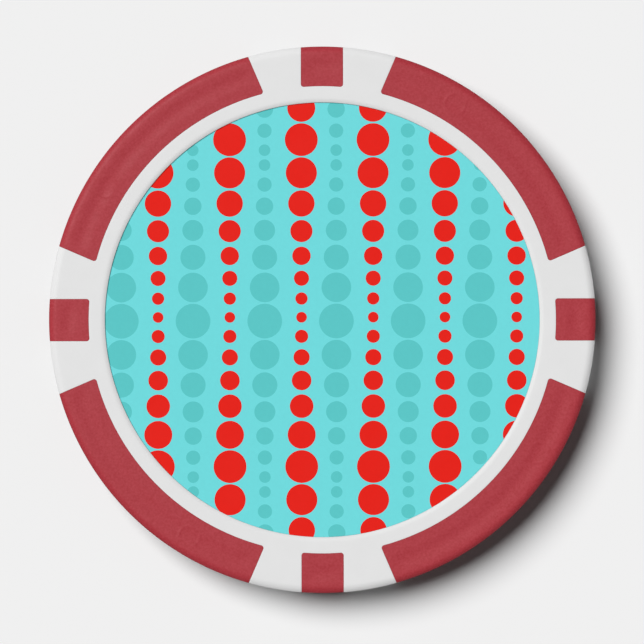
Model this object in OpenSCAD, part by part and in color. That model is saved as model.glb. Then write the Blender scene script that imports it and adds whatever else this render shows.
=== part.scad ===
// Poker chip: two moulded body halves welded together around a steel weight, coloured inserts
// trapped in the rim by their tongues, and a printed label glued into a recess in each face.

/* [Chip] */
// Outer diameter
chip_d = 39; // [37:0.5:43]
// Thickness over the rim
chip_t = 3.3; // [3:0.1:4]
// Width of the rounded outer edge on both faces
edge_w = 0.57; // [0.3:0.01:0.65]
// Rounding of the outer edge
edge_r = 0.72; // [0.68:0.01:1]

/* [Label recesses] */
// Width of the rim around each recess
rim_w = 4; // [3.5:0.05:4.5]
// Depth of each recess below the rim
recess_depth = 0.4; // [0.35:0.05:0.55]
// Width of the rounded lip around each recess
lip_w = 0.35; // [0.2:0.05:0.45]
// Rounding of the lip
lip_r = 0.7; // [0.55:0.05:1]

/* [Labels] */
// Thickness of a printed label
label_t = 0.16; // [0.1:0.01:0.25]
// Thickness of the adhesive under a label
adhesive_t = 0.05; // [0.03:0.01:0.08]
// Gap between a label's edge and the wall of its recess
label_gap = 0.01; // [0.01:0.01:0.2]

/* [Edge inserts] */
// Depth of the inserts, from the chip's edge towards its centre
insert_depth = 2.85; // [2.5:0.05:3.1]
// Width of a short insert
short_insert_w = 3; // [2:0.1:4]
// Angle that a long insert spans at half its depth
long_insert_span = 59.8; // [50:0.2:64]
// Angle by which the ends of a long insert lean in from the radius
long_end_lean = 8.2; // [0:0.2:12]
// Rounding of the inserts' inner corners
insert_corner_r = 0.2; // [0.1:0.05:0.4]
// Clearance between an insert and the body
insert_gap = 0.01; // [0.01:0.01:0.05]

/* [Insert tongues] */
// Thickness of the tongue around an insert
tongue_t = 0.9; // [0.6:0.05:1.2]
// Reach of the tongue into the body
tongue_reach = 0.6; // [0.3:0.05:0.8]
// Distance of the tongue from the chip's edge
tongue_setback = 0.8; // [0.5:0.05:1.2]

/* [Weight] */
// Thickness of the body's floor between the weight and a label
floor_t = 0.4; // [0.3:0.05:0.6]
// Width of the body's land between the weight's pocket and the tongues
land_w = 1.5; // [1.2:0.05:2]
// Clearance between the weight and its pocket
weight_gap = 0.03; // [0.02:0.01:0.1]
// Bevel of the weight's edges
weight_bevel = 0.15; // [0.05:0.05:0.3]

/* [Weld] */
// Width of the ridge that joins the two body halves
weld_ridge_w = 0.4; // [0.3:0.05:0.8]
// Height of the ridge
weld_ridge_h = 0.3; // [0.2:0.05:0.4]
// Clearance between the ridge and its groove
weld_gap = 0.02; // [0.01:0.01:0.05]

/* [Hidden] */
$fn = 96;

// How far a cut runs past the face that it opens
cut_overrun = 1;

// Radii from the chip's axis, from the edge inwards
chip_r = chip_d / 2;
insert_r = chip_r - insert_depth;
insert_mid_r = chip_r - insert_depth / 2;
recess_r = chip_r - rim_w;
label_r = recess_r - label_gap;
pocket_r = insert_r - tongue_reach - insert_gap - land_w;
weld_r = pocket_r + land_w / 2;

// Heights above the lower face
mid_z = chip_t / 2;
edge_drop = edge_r - sqrt(edge_r * edge_r - edge_w * edge_w);
lip_drop = lip_r - sqrt(lip_r * lip_r - lip_w * lip_w);
pocket_z = recess_depth + floor_t;

// Compass headings of the inserts
north = 90;
east = 0;
south = -90;
west = 180;
diagonal = 45;

// Ends of the inserts, for an insert whose middle lies on +X: a point on the end and its heading
short_end = [insert_mid_r, short_insert_w / 2];
short_heading = 0;
long_end = insert_mid_r * unit(long_insert_span / 2);
long_heading = long_insert_span / 2 - long_end_lean;

// Colours of the materials
white_plastic = [0.89, 0.89, 0.89];
red_plastic = [0.67, 0.25, 0.29];
steel = [0.62, 0.63, 0.65];
print_aqua = [0.44, 0.85, 0.87];
clear_adhesive = [0.93, 0.9, 0.8];

// Unit vector at an angle
function unit(angle) = [cos(angle), sin(angle)];

// Points kept as they are (side 1) or mirrored across the X axis (side -1)
function on_side(points, side) = [for (p = points) [p.x, side * p.y]];

// Flat ring with its wall centred on a radius
module ring(radius, width) {
    difference() {
        circle(r = radius + width / 2);
        circle(r = radius - width / 2);
    }
}

// Half section of the whole chip: a thin web, and a rim with a rounded lip and a rounded edge
module chip_section() {
    translate([0, recess_depth])
        square([recess_r + lip_w, chip_t - 2 * recess_depth]);
    translate([recess_r, lip_drop])
        square([lip_w, chip_t - 2 * lip_drop]);
    translate([recess_r + lip_w, 0])
        square([rim_w - lip_w - edge_w, chip_t]);
    translate([chip_r - edge_w, edge_drop])
        square([edge_w, chip_t - 2 * edge_drop]);
    for (z = [lip_r, chip_t - lip_r])
        translate([recess_r + lip_w, z])
            intersection() {
                circle(r = lip_r);
                translate([-lip_w, -lip_r])
                    square([lip_w, 2 * lip_r]);
            }
    for (z = [edge_r, chip_t - edge_r])
        translate([chip_r - edge_w, z])
            intersection() {
                circle(r = edge_r);
                translate([0, -edge_r])
                    square([edge_w, 2 * edge_r]);
            }
}

// Plan of an insert, grown on all sides but the chip's edge, with its inner corners rounded
module insert_plan(end, heading, grow) {
    along = unit(heading);
    inward = [along.y, -along.x];
    side_point = end - grow * inward;
    inner_r = insert_r - grow;
    corner_r = insert_corner_r + grow;
    // The corner's centre lies corner_r inside the end and corner_r outside the inner circle
    base = side_point + corner_r * inward;
    ahead = base * along;
    corner_reach = inner_r + corner_r;
    corner = base + along * (sqrt(ahead * ahead - base * base + corner_reach * corner_reach) - ahead);
    to_end = -corner_r * inward;
    to_circle = -2 * corner_r * corner / corner_reach;
    end_line = [side_point - insert_depth * along, side_point + chip_d * along];
    sharp_corner = [corner, corner + to_end, corner + 2 * to_end + to_circle, corner + to_circle];
    difference() {
        polygon(concat(end_line, on_side([end_line[1], end_line[0]], -1)));
        circle(r = inner_r);
        for (side = [1, -1])
            polygon(on_side(sharp_corner, side));
    }
    for (side = [1, -1])
        translate([corner.x, side * corner.y])
            circle(r = corner_r);
}

// Plan of the tongue around an insert, which stops short of the chip's edge
module tongue_plan(end, heading, gap) {
    intersection() {
        insert_plan(end, heading, tongue_reach + gap);
        circle(r = chip_r - tongue_setback + gap);
    }
}

// Insert through the whole thickness, with the tongue that the body halves trap
module insert(end, heading) {
    color(red_plastic) {
        intersection() {
            rotate_extrude() chip_section();
            linear_extrude(chip_t) insert_plan(end, heading, 0);
        }
        translate([0, 0, mid_z - tongue_t / 2])
            linear_extrude(tongue_t) tongue_plan(end, heading, 0);
    }
}

module short_insert(compass) {
    rotate(compass) insert(short_end, short_heading);
}

module long_insert(compass) {
    rotate(compass) insert(long_end, long_heading);
}

// Room for an insert and its tongue
module insert_room(end, heading) {
    translate([0, 0, -cut_overrun])
        linear_extrude(chip_t + 2 * cut_overrun) insert_plan(end, heading, insert_gap);
    translate([0, 0, mid_z - tongue_t / 2 - insert_gap])
        linear_extrude(tongue_t + 2 * insert_gap) tongue_plan(end, heading, insert_gap);
}

// Room for all the inserts and for the weight
module body_room() {
    for (compass = [east, north, west, south]) {
        rotate(compass) insert_room(short_end, short_heading);
        rotate(compass + diagonal) insert_room(long_end, long_heading);
    }
    translate([0, 0, pocket_z])
        cylinder(r = pocket_r, h = chip_t - 2 * pocket_z);
}

// Lower half of the body before anything is cut from it
module body_half_blank() {
    rotate_extrude()
        intersection() {
            chip_section();
            square([chip_r, mid_z]);
        }
}

// Lower half, with the weld ridge standing on its land
module lower_body_half() {
    color(white_plastic) {
        difference() {
            body_half_blank();
            body_room();
        }
        translate([0, 0, mid_z - weld_ridge_h])
            linear_extrude(2 * weld_ridge_h) ring(weld_r, weld_ridge_w);
    }
}

// Upper half, with the groove that takes the weld ridge
module upper_body_half() {
    color(white_plastic)
        difference() {
            translate([0, 0, chip_t]) mirror([0, 0, 1]) body_half_blank();
            body_room();
            translate([0, 0, mid_z - cut_overrun])
                linear_extrude(cut_overrun + weld_ridge_h + weld_gap)
                    ring(weld_r, weld_ridge_w + 2 * weld_gap);
        }
}

// Steel disc with bevelled edges, between the floors of the two halves
module steel_weight() {
    weight_r = pocket_r - weight_gap;
    low = pocket_z + weight_gap;
    high = chip_t - low;
    color(steel)
        rotate_extrude()
            polygon([
                [0, low], [weight_r - weight_bevel, low], [weight_r, low + weight_bevel],
                [weight_r, high - weight_bevel], [weight_r - weight_bevel, high], [0, high]
            ]);
}

// Adhesive on the floor of the lower recess
module label_adhesive() {
    color(clear_adhesive)
        translate([0, 0, recess_depth - adhesive_t])
            cylinder(r = label_r, h = adhesive_t);
}

// Printed label on the adhesive of the lower recess
module label() {
    color(print_aqua)
        translate([0, 0, recess_depth - adhesive_t - label_t])
            cylinder(r = label_r, h = label_t);
}

// What lies on the lower face, carried over to the upper face
module on_upper_face() {
    translate([0, 0, chip_t]) mirror([0, 0, 1]) children();
}

lower_body_half();
upper_body_half();
steel_weight();
short_insert(north);  // short_insert_north
short_insert(east);  // short_insert_east
short_insert(south);  // short_insert_south
short_insert(west);  // short_insert_west
long_insert(north - diagonal);  // long_insert_north_east
long_insert(east - diagonal);  // long_insert_south_east
long_insert(south - diagonal);  // long_insert_south_west
long_insert(west - diagonal);  // long_insert_north_west
label_adhesive();  // lower_label_adhesive
label();  // lower_label
on_upper_face() label_adhesive();  // upper_label_adhesive
on_upper_face() label();  // upper_label
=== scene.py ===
import math

import bmesh
import bpy
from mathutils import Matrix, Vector
from mathutils.geometry import delaunay_2d_cdt


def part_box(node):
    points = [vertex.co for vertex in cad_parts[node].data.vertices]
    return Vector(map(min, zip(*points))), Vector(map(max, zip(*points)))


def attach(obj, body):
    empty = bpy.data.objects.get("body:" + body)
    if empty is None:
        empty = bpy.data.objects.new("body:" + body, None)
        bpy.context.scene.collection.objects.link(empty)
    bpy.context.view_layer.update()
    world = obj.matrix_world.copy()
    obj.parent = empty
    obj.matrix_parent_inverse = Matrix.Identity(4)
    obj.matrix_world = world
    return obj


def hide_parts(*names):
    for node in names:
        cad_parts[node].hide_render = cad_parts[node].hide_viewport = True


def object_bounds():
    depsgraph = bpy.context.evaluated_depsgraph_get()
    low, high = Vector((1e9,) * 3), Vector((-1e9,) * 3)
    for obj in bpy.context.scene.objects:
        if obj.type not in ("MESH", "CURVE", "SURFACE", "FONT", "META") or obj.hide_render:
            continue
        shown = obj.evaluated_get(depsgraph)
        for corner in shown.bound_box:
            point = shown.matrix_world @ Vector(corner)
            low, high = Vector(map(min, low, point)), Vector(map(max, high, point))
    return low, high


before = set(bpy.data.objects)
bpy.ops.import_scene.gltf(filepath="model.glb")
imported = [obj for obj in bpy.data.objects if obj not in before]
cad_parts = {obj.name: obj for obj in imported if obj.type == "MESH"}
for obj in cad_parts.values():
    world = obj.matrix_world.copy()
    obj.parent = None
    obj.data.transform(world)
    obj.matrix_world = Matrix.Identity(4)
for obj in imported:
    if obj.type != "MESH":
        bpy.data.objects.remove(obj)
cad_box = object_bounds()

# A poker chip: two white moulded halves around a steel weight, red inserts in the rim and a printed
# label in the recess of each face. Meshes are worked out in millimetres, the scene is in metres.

MM = 0.001
BODY = "root"

# Sizes that the frame gives
CHIP_R = cad_box[1].x / MM
CHIP_T = cad_box[1].z / MM
MID_Z = CHIP_T / 2
label_low, label_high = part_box("upper_label")
LABEL_TOP = label_high.z / MM
LABEL_BOTTOM = label_low.z / MM
weight_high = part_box("steel_weight")[1]

# Sizes of the body halves, as the solids have them
EDGE_WIDTH = 0.57
EDGE_ROUND = 0.72
RIM_WIDTH = 4.0
RECESS_DEPTH = 0.4
LIP_WIDTH = 0.35
LIP_ROUND = 0.7
WEIGHT_GAP = 0.03
WELD_WIDTH = 0.4
WELD_HEIGHT = 0.3
WELD_GAP = 0.02

# Sizes of the inserts, as the solids have them
INSERT_DEPTH = 2.85
SHORT_WIDTH = 3.0
LONG_SPAN = math.radians(59.8)
LONG_END_LEAN = math.radians(8.2)
INSERT_CORNER = 0.2
TONGUE_T = 0.9
TONGUE_REACH = 0.6
TONGUE_SETBACK = 0.8

# Moulding details: the rounded corner below the chip's edge, the seams, which the pressed plastic
# leaves tighter than the solids do, the shallow dish that the inserts sank into as they cooled,
# and the ring that the ejector pin left standing in the dish of each long insert
EDGE_CORNER = 0.12
INSERT_GAP = 0.005
SEAM_ROUND = 0.01
PARTING_ROUND = 0.03
DISH_DEPTH = 0.055
DISH_HALF_WIDTH = 0.75
DISH_FADE = 1.2
MARK_R = 0.74
MARK_HEIGHT = 0.022
MARK_HALF_WIDTH = 0.15
MARK_ANGLE = math.radians(13.3)

# Labels: the gap around them, the rounding of their edge, and their print, which is columns of dots
# that swell and shrink along a wave
FILM_GAP = 0.002
FILM_ROUND = 0.004
PRINT_MARGIN = 0.8
COLUMN_PITCH = 5.114
WAVE = 23.31
DOTS_EACH_WAY = 6
DOTS_IN_WAVE = 2 * DOTS_EACH_WAY + 1
DOT_GAIN = 0.157
DOT_CURVE = 0.0168

# Fineness of the meshes
ARC_STEPS = 10
CORNER_ROWS = 8
CORNER_SPAN_SHARE = 1.2
SEAM_SHARES = (0, 0.1, 0.35, 0.7, 1)
INSERT_STEP = 0.07
BODY_STEP = 0.2
SPOKE_COLUMNS = 20
STRAIGHT_ROWS = 26
DOT_CORNERS = 48
LABEL_CORNERS = 256
MERGE_DISTANCE = 1e-6
SHARP_ANGLE = math.radians(35)

# Radii and heights worked out from the sizes
RECESS_R = CHIP_R - RIM_WIDTH
FILM_R = RECESS_R - FILM_GAP
INSERT_R = CHIP_R - INSERT_DEPTH
INSERT_MID_R = CHIP_R - INSERT_DEPTH / 2
TONGUE_R = CHIP_R - TONGUE_SETBACK
TONGUE_TOP = MID_Z + TONGUE_T / 2
ROOM_R = INSERT_R - INSERT_GAP
ROOM_LIMIT = TONGUE_R + INSERT_GAP
SLOT_TOP = TONGUE_TOP + INSERT_GAP
SLOT_GROW = TONGUE_REACH + INSERT_GAP
POCKET_R = weight_high.x / MM + WEIGHT_GAP
POCKET_TOP = weight_high.z / MM + WEIGHT_GAP
WELD_R = (POCKET_R + INSERT_R - SLOT_GROW) / 2
EDGE_START = CHIP_R - EDGE_WIDTH
CORNER_REACH = EDGE_ROUND - EDGE_CORNER
CORNER_OUT = EDGE_WIDTH - EDGE_CORNER
WALL_TOP = CHIP_T - EDGE_ROUND + math.sqrt(CORNER_REACH ** 2 - CORNER_OUT ** 2)

# Directions of the inserts, anticlockwise from +X, short and long by turns
COMPASS = ("east", "north_east", "north", "north_west", "west", "south_west", "south", "south_east")
INSERT_TURN = 2 * math.pi / len(COMPASS)


def smooth(t):
    """Eases from 0 to 1."""
    t = max(0.0, min(1.0, t))
    return t * t * (3 - 2 * t)


def along_to_radius(point, along, radius):
    """Where the line from a point reaches a distance from the centre."""
    ahead = point.dot(along)
    return point + along * (math.sqrt(ahead * ahead - point.length_squared + radius * radius) - ahead)


class InsertShape:
    """Plan of a kind of insert whose middle lies on +X, alike on both sides of that axis."""

    def __init__(self, end, heading):
        self.end = end
        self.along = Vector((math.cos(heading), math.sin(heading)))
        self.inward = Vector((self.along.y, -self.along.x))
        base = end + INSERT_CORNER * self.inward
        self.corner = along_to_radius(base, self.along, INSERT_R + INSERT_CORNER)

    def half_angle(self, radius, grow):
        """Angle from the middle to the end of the plan, grown by a distance, at a radius."""
        corner_r = INSERT_CORNER + grow
        touch = self.corner - corner_r * self.inward
        if radius >= touch.length:
            point = along_to_radius(touch, self.along, radius)
            return math.atan2(point.y, point.x)
        reach = self.corner.length
        cosine = (radius * radius + reach * reach - corner_r * corner_r) / (2 * radius * reach)
        return math.atan2(self.corner.y, self.corner.x) + math.acos(min(1.0, cosine))

    def outside(self, radius, angle):
        """Distance of a point outside the plan, less than zero inside it."""
        point = Vector((radius * math.cos(angle), abs(radius * math.sin(angle))))
        past_end = (self.end - point).dot(self.inward) + INSERT_CORNER
        past_arc = INSERT_R - radius + INSERT_CORNER
        if past_end > 0 and past_arc > 0:
            return (point - self.corner).length - INSERT_CORNER
        return max(past_end, past_arc) - INSERT_CORNER


def short_shape():
    return InsertShape(Vector((INSERT_MID_R, SHORT_WIDTH / 2)), 0)


def long_shape():
    half = LONG_SPAN / 2
    end = INSERT_MID_R * Vector((math.cos(half), math.sin(half)))
    return InsertShape(end, half - LONG_END_LEAN)


SHORT = short_shape()
LONG = long_shape()


def shape_of(index):
    return LONG if index % 2 else SHORT


def heading_of(index):
    return index * INSERT_TURN


class Solid:
    """Points and faces of one piece while it is made. A flipped one is on the lower face."""

    def __init__(self, flip=False):
        self.flip = flip
        self.points = []
        self.faces = []
        self.kinds = []

    def point(self, radius, angle, z):
        height = CHIP_T - z if self.flip else z
        self.points.append((radius * math.cos(angle), radius * math.sin(angle), height))
        return len(self.points) - 1

    def face(self, corners, kind=0):
        self.faces.append(tuple(corners))
        self.kinds.append(kind)

    def strip(self, first, second):
        """Faces between two rows of as many points."""
        for i in range(len(first) - 1):
            self.face((first[i], first[i + 1], second[i + 1], second[i]))

    def sheet(self, rows):
        """Faces between each row and the next one."""
        for first, second in zip(rows, rows[1:]):
            self.strip(first, second)

    def tube(self, rows):
        """Faces between each closed row and the next one."""
        self.sheet([row + row[:1] for row in rows])

    def fan(self, row, middle):
        """Faces from a closed row to one point."""
        for i in range(len(row)):
            self.face((row[i - 1], row[i], middle))


def make_piece(solid, name, node, materials):
    """Turns a solid into a piece that stands for a node."""
    mesh = bpy.data.meshes.new(name)
    mesh.from_pydata([[c * MM for c in p] for p in solid.points], [], solid.faces)
    for material in materials:
        mesh.materials.append(material)
    mesh.polygons.foreach_set("material_index", solid.kinds)
    shell = bmesh.new()
    shell.from_mesh(mesh)
    bmesh.ops.recalc_face_normals(shell, faces=shell.faces)
    shell.to_mesh(mesh)
    shell.free()
    mesh.shade_smooth()
    mesh.set_sharp_from_angle(angle=SHARP_ANGLE)
    piece = bpy.data.objects.new(name, mesh)
    bpy.context.scene.collection.objects.link(piece)
    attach(piece, BODY)
    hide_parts(node)
    return piece


# Rows of a section: radius, height, and the direction in which the surface faces there.
# Angles in a section are in degrees from straight out.

UP = 90
OUT = 0
DOWN = -90


def arc_rows(radius, z, bend, start, stop):
    """Rows along an arc of a section, between two angles."""
    rows = []
    for i in range(ARC_STEPS + 1):
        angle = math.radians(start + (stop - start) * i / ARC_STEPS)
        across = math.cos(angle)
        up = math.sin(angle)
        rows.append((radius + bend * across, z + bend * up, across, up))
    return rows


def flat_rows(radii):
    """Rows on the flat top of the rim."""
    return [(radius, CHIP_T, 0, 1) for radius in radii]


def steps_between(start, stop, step):
    """Values between two others, without them, about a step apart."""
    count = max(1, round((stop - start) / step))
    return [start + (stop - start) * i / count for i in range(1, count)]


def end_radii(grow, limit):
    """Radii along an insert's end, grown by a distance: close together at its inner corner."""
    inner = INSERT_R - grow
    span = CORNER_SPAN_SHARE * (INSERT_CORNER + grow)
    corner = [inner + span * (i / CORNER_ROWS) ** 2 for i in range(CORNER_ROWS)]
    step = (limit - inner - span) / STRAIGHT_ROWS
    return corner + [inner + span + step * i for i in range(STRAIGHT_ROWS)] + [limit]


def outer_rows(limit, step):
    """Rows from the end of the tongue to the straight part of the chip's edge."""
    corner_start = UP - math.degrees(math.asin(CORNER_OUT / CORNER_REACH))
    rows = flat_rows(steps_between(limit, EDGE_START, step))
    rows += arc_rows(EDGE_START, CHIP_T - EDGE_ROUND, EDGE_ROUND, UP, corner_start)
    return rows + arc_rows(CHIP_R - EDGE_CORNER, WALL_TOP, EDGE_CORNER, corner_start, OUT)[1:]


def spread(left, right, radius, count):
    """Angles between two ends at a radius: close together beside each end, and even between."""
    near = [share * SEAM_ROUND / radius for share in SEAM_SHARES]
    first = left + near[-1]
    last = right - near[-1]
    even = [first + (last - first) * i / count for i in range(1, count)]
    return [left + a for a in near] + even + [right - a for a in reversed(near)]


def seam_drop(inside):
    """How far a surface rounds down where it nears a seam."""
    rest = SEAM_ROUND - max(0.0, inside)
    if rest <= 0:
        return 0.0
    return SEAM_ROUND - math.sqrt(SEAM_ROUND * SEAM_ROUND - rest * rest)


def plan_line(shape, grow, limit, arc_angles):
    """Outline of an insert, grown by a distance: in along one end, along the arc, out at the other."""
    radii = end_radii(grow, limit)
    first = [(r, -shape.half_angle(r, grow)) for r in reversed(radii)]
    arc = [(radii[0], angle) for angle in arc_angles]
    return first + arc + [(r, shape.half_angle(r, grow)) for r in radii]


def upright_line(solid, line, heading, z):
    """Points of an insert's outline at a height."""
    return [solid.point(r, heading + angle, z) for r, angle in line]


# Inserts


def dish_depth(shape, radius, angle):
    """Depth of the dish along the middle of an insert, which fades before its ends."""
    across = abs(radius - INSERT_MID_R) / DISH_HALF_WIDTH
    to_end = (shape.half_angle(radius, 0) - abs(angle)) * radius
    return DISH_DEPTH * smooth(1 - across) * smooth(to_end / DISH_FADE)


def mark_height(radius, angle):
    """Height of the ring that the ejector pin left on a long insert."""
    along = INSERT_MID_R * (angle - MARK_ANGLE)
    distance = math.hypot(along, radius - INSERT_MID_R)
    return MARK_HEIGHT * smooth(1 - abs(distance - MARK_R) / MARK_HALF_WIDTH)


def insert_face(solid, shape, heading, rows, marked):
    """Points of one face of an insert, row by row from its inner edge to the chip's edge."""
    count = round(2 * shape.half_angle(INSERT_MID_R, 0) * INSERT_MID_R / INSERT_STEP)
    grid = []
    for radius, z, across, up in rows:
        half = shape.half_angle(radius, 0)
        line = []
        for angle in spread(-half, half, radius, count):
            dish = dish_depth(shape, radius, angle)
            if marked:
                dish -= min(dish, mark_height(radius, angle))
            drop = seam_drop(-shape.outside(radius, angle)) + dish
            line.append(solid.point(radius - across * drop, heading + angle, z - up * drop))
        grid.append(line)
    solid.sheet(grid)
    return grid


def edge_line(grid, count):
    """Points around one face of an insert, along both ends as far as its tongue goes."""
    ends = grid[:count]
    return [line[0] for line in reversed(ends)] + ends[0][1:-1] + [line[-1] for line in ends]


def build_insert(index):
    """An insert through the whole thickness, with the tongue that the halves of the body trap."""
    shape = shape_of(index)
    heading = heading_of(index)
    is_long = shape is LONG
    solid = Solid()
    radii = end_radii(0, TONGUE_R)
    rows = flat_rows(radii) + outer_rows(TONGUE_R, INSERT_STEP)
    top = insert_face(solid, shape, heading, rows, is_long)
    solid.flip = True
    bottom = insert_face(solid, shape, heading, rows, False)
    solid.flip = False
    solid.strip(top[-1], bottom[-1])
    half = shape.half_angle(INSERT_R, 0)
    arc_angles = spread(-half, half, INSERT_R, len(top[0]) + 1 - 2 * len(SEAM_SHARES))[1:-1]
    root = plan_line(shape, 0, TONGUE_R, arc_angles)
    tip = plan_line(shape, TONGUE_REACH, TONGUE_R, arc_angles)
    walls = [edge_line(top, len(radii))]
    low = CHIP_T - TONGUE_TOP
    for line, z in ((root, TONGUE_TOP), (tip, TONGUE_TOP), (tip, low), (root, low)):
        walls.append(upright_line(solid, line, heading, z))
    walls.append(edge_line(bottom, len(radii)))
    solid.sheet(walls)
    tongue = walls[1:-1]
    for side in (0, -1):
        solid.face([line[side] for line in tongue])
        outer = [line[side] for line in top[len(radii) - 1:]]
        under = [line[side] for line in bottom[len(radii) - 1:]]
        solid.face(outer + under[::-1] + [tongue[-1][side], tongue[0][side]])
    kind = "long" if is_long else "short"
    name = kind + "_insert_" + COMPASS[index]
    make_piece(solid, name + "_moulding", name, [red_plastic])


# Body halves


def body_drop(radius, angle):
    """How far the body rounds down beside the nearest insert."""
    index = math.floor(angle / INSERT_TURN)
    gaps = [shape_of(i).outside(radius, angle - heading_of(i)) for i in (index, index + 1)]
    return seam_drop(min(gaps) - INSERT_GAP)


def spoke_angles(index, radius, grow):
    """Angles across the spoke that follows an insert, between the rooms of its two neighbours."""
    left = heading_of(index) + shape_of(index).half_angle(radius, grow)
    right = heading_of(index + 1) - shape_of(index + 1).half_angle(radius, grow)
    return spread(left, right, radius, SPOKE_COLUMNS)


def room_arc_angles(index):
    """Angles along the arc of an insert's room, without its ends, from the insert's middle."""
    half = shape_of(index).half_angle(ROOM_R, INSERT_GAP)
    return steps_between(-half, half, BODY_STEP / ROOM_R)


def body_row(solid, row, angles):
    """Points of one row of the body's outer surface."""
    radius, z, across, up = row
    line = []
    for angle in angles:
        drop = body_drop(radius, angle)
        line.append(solid.point(radius - across * drop, angle, z - up * drop))
    return line


def rim_rows():
    """Rows from the floor of the label's recess over its lip to the inserts' rooms."""
    lip_end = RECESS_R + LIP_WIDTH
    lip_start = UP + math.degrees(math.asin(LIP_WIDTH / LIP_ROUND))
    flat_end = ROOM_R - SEAM_ROUND
    radii = steps_between(lip_end, flat_end, BODY_STEP)
    radii += [ROOM_R - SEAM_ROUND * share for share in reversed(SEAM_SHARES)]
    floor = [(RECESS_R, CHIP_T - RECESS_DEPTH, 0, 0)]
    lip = arc_rows(lip_end, CHIP_T - LIP_ROUND, LIP_ROUND, lip_start, UP)
    return floor + lip + flat_rows(radii)


def parting_rows():
    """Rows of the rounded edge where the two halves meet on the chip's edge."""
    rows = arc_rows(CHIP_R - PARTING_ROUND, MID_Z + PARTING_ROUND, PARTING_ROUND, OUT, DOWN)
    return rows[:-1] + [(CHIP_R - PARTING_ROUND, MID_Z, 0, 0)]


def inside_rows(ridge):
    """Rows of the face where the halves meet, and of the weight's pocket, from the inserts inwards."""
    half = WELD_WIDTH / 2 if ridge else WELD_WIDTH / 2 + WELD_GAP
    level = MID_Z - WELD_HEIGHT if ridge else MID_Z + WELD_HEIGHT + WELD_GAP
    outer = WELD_R + half
    inner = WELD_R - half
    weld = [(outer, MID_Z), (outer, level), (inner, level), (inner, MID_Z)]
    return weld + [(POCKET_R, MID_Z), (POCKET_R, POCKET_TOP)]


class BodyHalf:
    """Half of the body while it is made. Its points stand in columns: those along the arcs of the
    inserts' rooms and those across the spokes between them, by turns."""

    def __init__(self, flip):
        self.solid = Solid(flip)
        self.radii = end_radii(INSERT_GAP, ROOM_LIMIT)
        self.angles = []
        self.arcs = []
        self.spokes = []
        for i in range(len(COMPASS)):
            self.arcs.append(self.columns([heading_of(i) + a for a in room_arc_angles(i)]))
            self.spokes.append(self.columns(spoke_angles(i, ROOM_R, INSERT_GAP)))

    def columns(self, angles):
        """Adds columns at some angles, and says where they are."""
        start = len(self.angles)
        self.angles += angles
        return slice(start, len(self.angles))

    def add_outside(self):
        """Outer surface: the ring inside the inserts, then the spokes between them."""
        solid = self.solid
        ring = [body_row(solid, row, self.angles) for row in rim_rows()]
        solid.tube(ring)
        solid.fan(ring[0], solid.point(0, 0, CHIP_T - RECESS_DEPTH))
        self.rim = ring[-1]
        self.tops = []
        rows = flat_rows(self.radii[1:]) + outer_rows(ROOM_LIMIT, BODY_STEP) + parting_rows()
        for i, spoke in enumerate(self.spokes):
            grid = [self.rim[spoke]]
            grid += [body_row(solid, row, spoke_angles(i, row[0], INSERT_GAP)) for row in rows]
            solid.sheet(grid)
            self.tops.append(grid)

    def add_inside(self, ridge):
        """Face where the halves meet, and the weight's pocket."""
        solid = self.solid
        radii = end_radii(SLOT_GROW, ROOM_LIMIT)
        self.meeting = [solid.point(radii[0], angle, MID_Z) for angle in self.angles]
        self.lands = []
        rows = [self.meeting]
        for radius, z in inside_rows(ridge):
            rows.append([solid.point(radius, angle, z) for angle in self.angles])
        solid.tube(rows)
        solid.fan(rows[-1], solid.point(0, 0, POCKET_TOP))
        for i, spoke in enumerate(self.spokes):
            grid = [self.meeting[spoke]]
            for radius in radii[1:]:
                grid.append([solid.point(radius, a, MID_Z) for a in spoke_angles(i, radius, SLOT_GROW)])
            solid.sheet(grid + [self.tops[i][-1]])
            self.lands.append(grid)

    def add_room(self, i):
        """Walls of the room for an insert and its tongue, between the spokes on its two sides."""
        solid = self.solid
        heading = heading_of(i)
        count = len(self.radii)
        before = self.tops[i - 1]
        after = self.tops[i]
        top = [line[-1] for line in reversed(before[:count])]
        top += self.rim[self.arcs[i]] + [line[0] for line in after[:count]]
        foot = [line[-1] for line in reversed(self.lands[i - 1])]
        foot += self.meeting[self.arcs[i]] + [line[0] for line in self.lands[i]]
        wall_line = plan_line(shape_of(i), INSERT_GAP, ROOM_LIMIT, room_arc_angles(i))
        slot_line = plan_line(shape_of(i), SLOT_GROW, ROOM_LIMIT, room_arc_angles(i))
        wall = upright_line(solid, wall_line, heading, SLOT_TOP)
        slot = upright_line(solid, slot_line, heading, SLOT_TOP)
        solid.sheet([top, wall, slot, foot])
        for side, grid, column in ((0, before, -1), (-1, after, 0)):
            radius, angle = wall_line[side]
            root = solid.point(radius, heading + angle, MID_Z)
            solid.face((wall[side], slot[side], foot[side], root))
            solid.face((root, foot[side], grid[-1][column]))
            solid.face([line[column] for line in grid[count - 1:]] + [root, wall[side]])


def build_body_half(name, flip):
    """Half of the body, with the rooms for the inserts and the weight. The lower half has the ridge."""
    half = BodyHalf(flip)
    half.add_outside()
    half.add_inside(ridge=flip)
    for i in range(len(COMPASS)):
        half.add_room(i)
    return make_piece(half.solid, name + "_moulding", name, [white_plastic])


# Labels, and the kinds of face on them

FILM, AQUA_INK, RED_INK, TEAL_INK = range(4)


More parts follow.
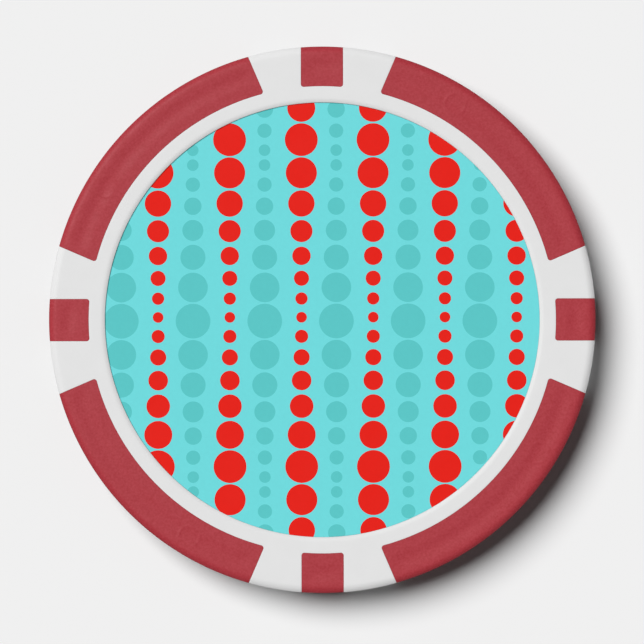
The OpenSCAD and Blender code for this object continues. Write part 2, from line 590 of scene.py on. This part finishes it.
class DotRule:
    """Rule for the columns of one ink. The phase says how many dots lie between the narrowest place
    of the wave and the dot in its middle, and the spacing grows with the dots."""

    def __init__(self, ink, x, middle, smallest, phase, apart, crowding):
        self.ink = ink
        self.x = x
        self.middle = middle
        self.smallest = smallest
        self.phase = phase
        self.apart = apart
        self.crowding = crowding

    def size(self, step):
        """Diameter of the dot that is some steps from the middle one."""
        half = DOTS_IN_WAVE / 2
        away = abs((self.phase + step + half) % DOTS_IN_WAVE - half)
        return self.smallest + DOT_GAIN * away + DOT_CURVE * away * away

    def wave(self):
        """Heights and diameters of the dots of one wave, from its middle dot outwards both ways."""
        dots = [(self.middle, self.size(0))]
        for way in (1, -1):
            height = self.middle
            for k in range(1, DOTS_EACH_WAY + 1):
                pair = (self.size(way * (k - 1)), self.size(way * k))
                height += way * (self.apart + self.crowding * sum(pair) / 2)
                dots.append((height, pair[1]))
        return dots


DOT_RULES = (
    DotRule(RED_INK, x=-1.48, middle=0.184, smallest=0.736, phase=-0.17, apart=0.77, crowding=0.69),
    DotRule(TEAL_INK, x=1.008, middle=-0.085, smallest=0.742, phase=6.5, apart=0.7113, crowding=0.737),
)


def print_dots():
    """Every dot that reaches the label: its place, its radius and its kind of ink."""
    dots = []
    reach = FILM_R + PRINT_MARGIN
    columns = math.ceil(reach / COLUMN_PITCH)
    for rule in DOT_RULES:
        for column in range(-columns, columns + 1):
            x = rule.x + column * COLUMN_PITCH
            for repeat in (-1, 0, 1):
                for height, size in rule.wave():
                    y = repeat * WAVE + height
                    if math.hypot(x, y) < min(reach, FILM_R + size / 2):
                        dots.append((x, y, size / 2, rule.ink))
    return dots


def circle(x, y, radius, corners):
    """Corners around a middle, anticlockwise."""
    turn = 2 * math.pi / corners
    return [(x + radius * math.cos(i * turn), y + radius * math.sin(i * turn)) for i in range(corners)]


def outline_sides(faces):
    """Sides that only one of the faces has."""
    sides = {}
    for corners in faces:
        for i in range(len(corners)):
            pair = (corners[i - 1], corners[i])
            if pair[::-1] in sides:
                del sides[pair[::-1]]
            else:
                sides[pair] = True
    return list(sides)


def label_top(solid):
    """Top of a label, in which the dots are faces of their own. The first loop is the label's own
    outline, and the loops of the dots follow."""
    dots = print_dots()
    dot_inks = [ink for x, y, radius, ink in dots]
    loops = [circle(0, 0, FILM_R - FILM_ROUND, LABEL_CORNERS)]
    loops += [circle(x, y, radius, DOT_CORNERS) for x, y, radius, ink in dots]
    places = []
    outlines = []
    for loop in loops:
        outlines.append(list(range(len(places), len(places) + len(loop))))
        places += [Vector(place) for place in loop]
    corners_at, _, faces, _, _, loops_around = delaunay_2d_cdt(places, [], outlines, 0, MERGE_DISTANCE)
    for place in corners_at:
        solid.point(place.length, math.atan2(place.y, place.x), LABEL_TOP)
    for corners, owners in zip(faces, loops_around):
        if 0 in owners:
            inks = [dot_inks[owner - 1] for owner in owners if owner > 0]
            solid.face(corners, inks[0] if inks else AQUA_INK)


def label_edge(solid):
    """Rounded edge and underside of a label, below the outline of its top."""
    sides = outline_sides(solid.faces)
    rings = [{}, {}, {}]
    for start, stop in sides:
        x, y = solid.points[start][:2]
        angle = math.atan2(y, x)
        rings[0][start] = start
        rings[1][start] = solid.point(FILM_R, angle, LABEL_TOP - FILM_ROUND)
        rings[2][start] = solid.point(FILM_R, angle, LABEL_BOTTOM)
    middle = solid.point(0, 0, LABEL_BOTTOM)
    for start, stop in sides:
        for upper, lower in zip(rings, rings[1:]):
            solid.face((upper[start], upper[stop], lower[stop], lower[start]), FILM)
        solid.face((rings[-1][start], rings[-1][stop], middle), FILM)


def build_label(name, flip):
    """A printed disc of film."""
    solid = Solid(flip)
    label_top(solid)
    label_edge(solid)
    materials = [label_film, label_aqua, label_red, label_teal]
    make_piece(solid, name + "_print", name, materials)


# Materials

PLASTIC_SHEEN = 0.2
FILM_SHEEN = 0.1
NOISE_LOW = 0.3
NOISE_HIGH = 0.7


def add_node(tree, kind, inputs=None, **settings):
    """Adds a node, and gives its inputs values or links."""
    made = tree.nodes.new(kind)
    for key, value in settings.items():
        setattr(made, key, value)
    for key, value in (inputs or {}).items():
        if isinstance(value, bpy.types.NodeSocket):
            tree.links.new(value, made.inputs[key])
        else:
            made.inputs[key].default_value = value
    return made


def noise(tree, size, detail, stretch=(1, 1, 1)):
    """Noise whose patches are about a size in millimetres."""
    place = add_node(tree, "ShaderNodeTexCoord").outputs["Object"]
    scale = [s / (size * MM) for s in stretch]
    place = add_node(tree, "ShaderNodeMapping", {"Vector": place, "Scale": scale}).outputs["Vector"]
    inputs = {"Vector": place, "Scale": 1.0, "Detail": detail}
    return add_node(tree, "ShaderNodeTexNoise", inputs).outputs["Fac"]


def between(tree, value, low, high):
    """Spreads a noise over a range."""
    limits = {"From Min": NOISE_LOW, "From Max": NOISE_HIGH, "To Min": low, "To Max": high}
    return add_node(tree, "ShaderNodeMapRange", {"Value": value, **limits}).outputs["Result"]


def tint(tree, value, colour, change):
    """Colour that a noise darkens and lightens by a share, or by a share for each channel."""
    shares = change if isinstance(change, tuple) else (change, change, change)
    ramp = add_node(tree, "ShaderNodeValToRGB", {"Fac": value})
    for element, at, way in zip(ramp.color_ramp.elements, (NOISE_LOW, NOISE_HIGH), (-1, 1)):
        element.position = at
        element.color = [c * (1 + way * share) for c, share in zip(colour, shares)] + [1]
    return ramp.outputs["Color"]


def bump(tree, height, strength, depth):
    """Bump from a noise, of a depth in millimetres."""
    inputs = {"Height": height, "Strength": strength, "Distance": depth * MM}
    return add_node(tree, "ShaderNodeBump", inputs).outputs["Normal"]


def new_material(name):
    """A material, its tree of nodes and its shader."""
    material = bpy.data.materials.new(name)
    material.use_nodes = True
    tree = material.node_tree
    return material, tree, tree.nodes["Principled BSDF"]


def connect(tree, shader, sockets):
    """Links sockets to inputs of a shader."""
    for key, value in sockets.items():
        tree.links.new(value, shader.inputs[key])


def moulded_plastic(name, colour, patch, change, roughness):
    """Matte moulded plastic: colour in patches, a fine grain from the mould and uneven sheen."""
    material, tree, shader = new_material(name)
    grain = noise(tree, size=0.12, detail=3.0)
    connect(tree, shader, {
        "Base Color": tint(tree, noise(tree, size=patch, detail=4.0), colour, change),
        "Roughness": between(tree, noise(tree, size=1.5, detail=3.0), *roughness),
        "Normal": bump(tree, grain, strength=0.35, depth=0.003)})
    shader.inputs["Specular IOR Level"].default_value = PLASTIC_SHEEN
    return material


def printed_film(name, colour, change):
    """Ink on satin film: slightly uneven ink and a faint texture."""
    material, tree, shader = new_material(name)
    texture = noise(tree, size=0.2, detail=2.0)
    connect(tree, shader, {
        "Base Color": tint(tree, noise(tree, size=0.25, detail=3.0), colour, change),
        "Roughness": between(tree, noise(tree, size=2.0, detail=2.0), low=0.5, high=0.6),
        "Normal": bump(tree, texture, strength=0.2, depth=0.002)})
    shader.inputs["Specular IOR Level"].default_value = FILM_SHEEN
    return material


def steel_material():
    """Stamped steel with fine drawn lines and faint oil stains."""
    material, tree, shader = new_material("steel_stamped")
    stains = noise(tree, size=4.0, detail=5.0)
    lines = noise(tree, size=0.1, detail=4.0, stretch=(0.02, 1, 1))
    connect(tree, shader, {
        "Base Color": tint(tree, stains, colour=(0.36, 0.37, 0.39), change=0.12),
        "Roughness": between(tree, lines, low=0.28, high=0.45),
        "Normal": bump(tree, lines, strength=0.4, depth=0.004)})
    shader.inputs["Metallic"].default_value = 1.0
    return material


def adhesive_material():
    """Clear adhesive film with faint streaks."""
    material, tree, shader = new_material("adhesive_film")
    streaks = noise(tree, size=0.4, detail=3.0, stretch=(0.1, 1, 1))
    connect(tree, shader, {
        "Base Color": tint(tree, streaks, colour=(0.82, 0.78, 0.64), change=0.05),
        "Roughness": between(tree, streaks, low=0.25, high=0.4)})
    return material


white_plastic = moulded_plastic(
    "white_plastic", colour=(0.738, 0.738, 0.738), patch=1.2, change=0.008, roughness=(0.5, 0.58))
red_plastic = moulded_plastic(
    "red_plastic", colour=(0.376, 0.0332, 0.0445), patch=0.14, change=(0.085, 0.25, 0.25),
    roughness=(0.48, 0.56))
label_film = printed_film("label_film", colour=(0.8, 0.82, 0.82), change=0.01)
label_aqua = printed_film("label_aqua", colour=(0.154, 0.683, 0.705), change=0.012)
label_red = printed_film("label_red", colour=(0.757, 0.0105, 0.0045), change=0.012)
label_teal = printed_film("label_teal", colour=(0.099, 0.548, 0.548), change=0.012)


def dress_inner_pieces():
    """Materials of the nodes that keep their solids: the weight and the adhesive."""
    dressed = {
        "steel_weight": steel_material(),
        "lower_label_adhesive": adhesive_material(),
        "upper_label_adhesive": adhesive_material(),
    }
    for node, material in dressed.items():
        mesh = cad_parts[node].data
        mesh.materials.clear()
        mesh.materials.append(material)


# Camera, light and floor

PHOTO_SIDE_PX = 644
CHIP_RADIUS_PX = 273.25
CHIP_CENTRE_PX = (322.3, 319.8)
CHIP_TURN = math.radians(0.08)
LENS = 150
SENSOR = 36

FLOOR_COLOUR = (0.871, 0.871, 0.871)
FLOOR_SIDE = 2.0
FLOOR_CLEARANCE = 0.01
WORLD_SHARE = 0.05


def add_camera():
    """Camera straight above the chip, at the photograph's scale."""
    mm_per_px = CHIP_R / CHIP_RADIUS_PX
    distance = PHOTO_SIDE_PX * mm_per_px * LENS / SENSOR
    x = (PHOTO_SIDE_PX / 2 - CHIP_CENTRE_PX[0]) * mm_per_px
    y = (CHIP_CENTRE_PX[1] - PHOTO_SIDE_PX / 2) * mm_per_px
    data = bpy.data.cameras.new("camera")
    data.lens = LENS
    data.sensor_width = SENSOR
    data.clip_start = MM
    camera = bpy.data.objects.new("camera", data)
    camera.location = Vector((x, y, WALL_TOP + distance)) * MM
    camera.rotation_euler.z = -CHIP_TURN
    bpy.context.scene.collection.objects.link(camera)
    bpy.context.scene.camera = camera


def group_of(name, members, state):
    """Group for a lamp that takes in only its members, or everything but them."""
    group = bpy.data.collections.new(name)
    for member in members:
        group.objects.link(member)
    for entry in group.collection_objects:
        entry.light_linking.link_state = state
    return group


def add_lamp(name, lights, share, azimuth, elevation, softness, bounces):
    """Soft lamp for what a group takes in. Its angles are in degrees, and its share is of the light
    that a level surface gets."""
    azimuth = math.radians(azimuth)
    elevation = math.radians(elevation)
    level = math.cos(elevation)
    towards = Vector((level * math.cos(azimuth), level * math.sin(azimuth), math.sin(elevation)))
    data = bpy.data.lights.new(name, "SUN")
    data.energy = share * math.pi / abs(towards.z)
    data.angle = math.radians(softness)
    data.cycles.max_bounces = bounces
    lamp = bpy.data.objects.new(name, data)
    lamp.rotation_euler = towards.to_track_quat("Z", "Y").to_euler()
    lamp.light_linking.receiver_collection = lights
    bpy.context.scene.collection.objects.link(lamp)
    return lamp


def add_lamps(floor, halves):
    """Key from the upper left and overhead fill on the chip, and a like key for the floor's shadow.
    The lit floor throws light back on the white walls, and the lamps below show the underside."""
    chip = group_of("all_but_floor", [floor], "EXCLUDE")
    ground = group_of("floor_only", [floor], "INCLUDE")
    white = group_of("white_halves", halves, "INCLUDE")
    coloured = group_of("all_but_floor_and_halves", [floor] + halves, "EXCLUDE")
    add_lamp("key", chip, share=0.65, azimuth=144, elevation=57, softness=28, bounces=0)
    add_lamp("fill", chip, share=0.31, azimuth=0, elevation=90, softness=70, bounces=1)
    add_lamp(
        "floor_key", ground, share=1 - WORLD_SHARE, azimuth=140, elevation=52.8, softness=37, bounces=1)
    low_lamps = (
        add_lamp("from_floor", white, share=0.3, azimuth=-40, elevation=-45, softness=30, bounces=1),
        add_lamp("below", coloured, share=1.0, azimuth=0, elevation=-90, softness=20, bounces=0),
        add_lamp("below_white", white, share=0.68, azimuth=0, elevation=-90, softness=20, bounces=0),
    )
    for lamp in low_lamps:
        lamp.light_linking.blocker_collection = chip
        lamp.visible_glossy = False


def greater(tree, first, second):
    """The greater of two values."""
    return add_node(tree, "ShaderNodeMath", {0: first, 1: second}, operation="MAXIMUM").outputs[0]


def mix_shaders(tree, share, first, second, output):
    """Shows one shader, or another where the share is 1."""
    inputs = {0: share, 1: first.outputs[0], 2: second.outputs[0]}
    mixed = add_node(tree, "ShaderNodeMixShader", inputs)
    tree.links.new(mixed.outputs[0], tree.nodes[output].inputs["Surface"])


def add_world():
    """Faint even light. The camera sees the floor's colour instead, and reflections see it fade to
    the horizon."""
    world = bpy.data.worlds.new("studio")
    world.use_nodes = True
    bpy.context.scene.world = world
    tree = world.node_tree
    rays = add_node(tree, "ShaderNodeLightPath").outputs
    camera_ray = rays["Is Camera Ray"]
    seen = camera_ray
    for other in ("Is Glossy Ray", "Is Transmission Ray"):
        seen = greater(tree, seen, rays[other])
    light = tree.nodes["Background"]
    light.inputs["Color"].default_value = (1, 1, 1, 1)
    light.inputs["Strength"].default_value = WORLD_SHARE
    direction = add_node(tree, "ShaderNodeTexCoord").outputs["Generated"]
    height = add_node(tree, "ShaderNodeSeparateXYZ", {"Vector": direction}).outputs["Z"]
    inputs = {"Color": FLOOR_COLOUR + (1,), "Strength": greater(tree, height, camera_ray)}
    backdrop = add_node(tree, "ShaderNodeBackground", inputs)
    mix_shaders(tree, seen, light, backdrop, "World Output")


def add_floor():
    """Pale floor that can be looked through from below."""
    material, tree, shader = new_material("floor")
    shader.inputs["Base Color"].default_value = FLOOR_COLOUR + (1,)
    shader.inputs["Roughness"].default_value = 1.0
    shader.inputs["Specular IOR Level"].default_value = 0.0
    clear = add_node(tree, "ShaderNodeBsdfTransparent")
    from_below = add_node(tree, "ShaderNodeNewGeometry").outputs["Backfacing"]
    mix_shaders(tree, from_below, shader, clear, "Material Output")
    half = FLOOR_SIDE / 2
    z = -FLOOR_CLEARANCE * MM
    mesh = bpy.data.meshes.new("floor")
    corners = [(-half, -half, z), (half, -half, z), (half, half, z), (-half, half, z)]
    mesh.from_pydata(corners, [], [range(len(corners))])
    mesh.materials.append(material)
    floor = bpy.data.objects.new("floor", mesh)
    bpy.context.scene.collection.objects.link(floor)
    floor.visible_glossy = False
    return floor


# The scene

bpy.context.scene.view_settings.view_transform = "Standard"
add_camera()
add_world()
for index in range(len(COMPASS)):
    build_insert(index)
body_halves = [build_body_half("upper_body_half", False), build_body_half("lower_body_half", True)]
add_lamps(add_floor(), body_halves)
build_label("upper_label", False)
build_label("lower_label", True)
dress_inner_pieces()
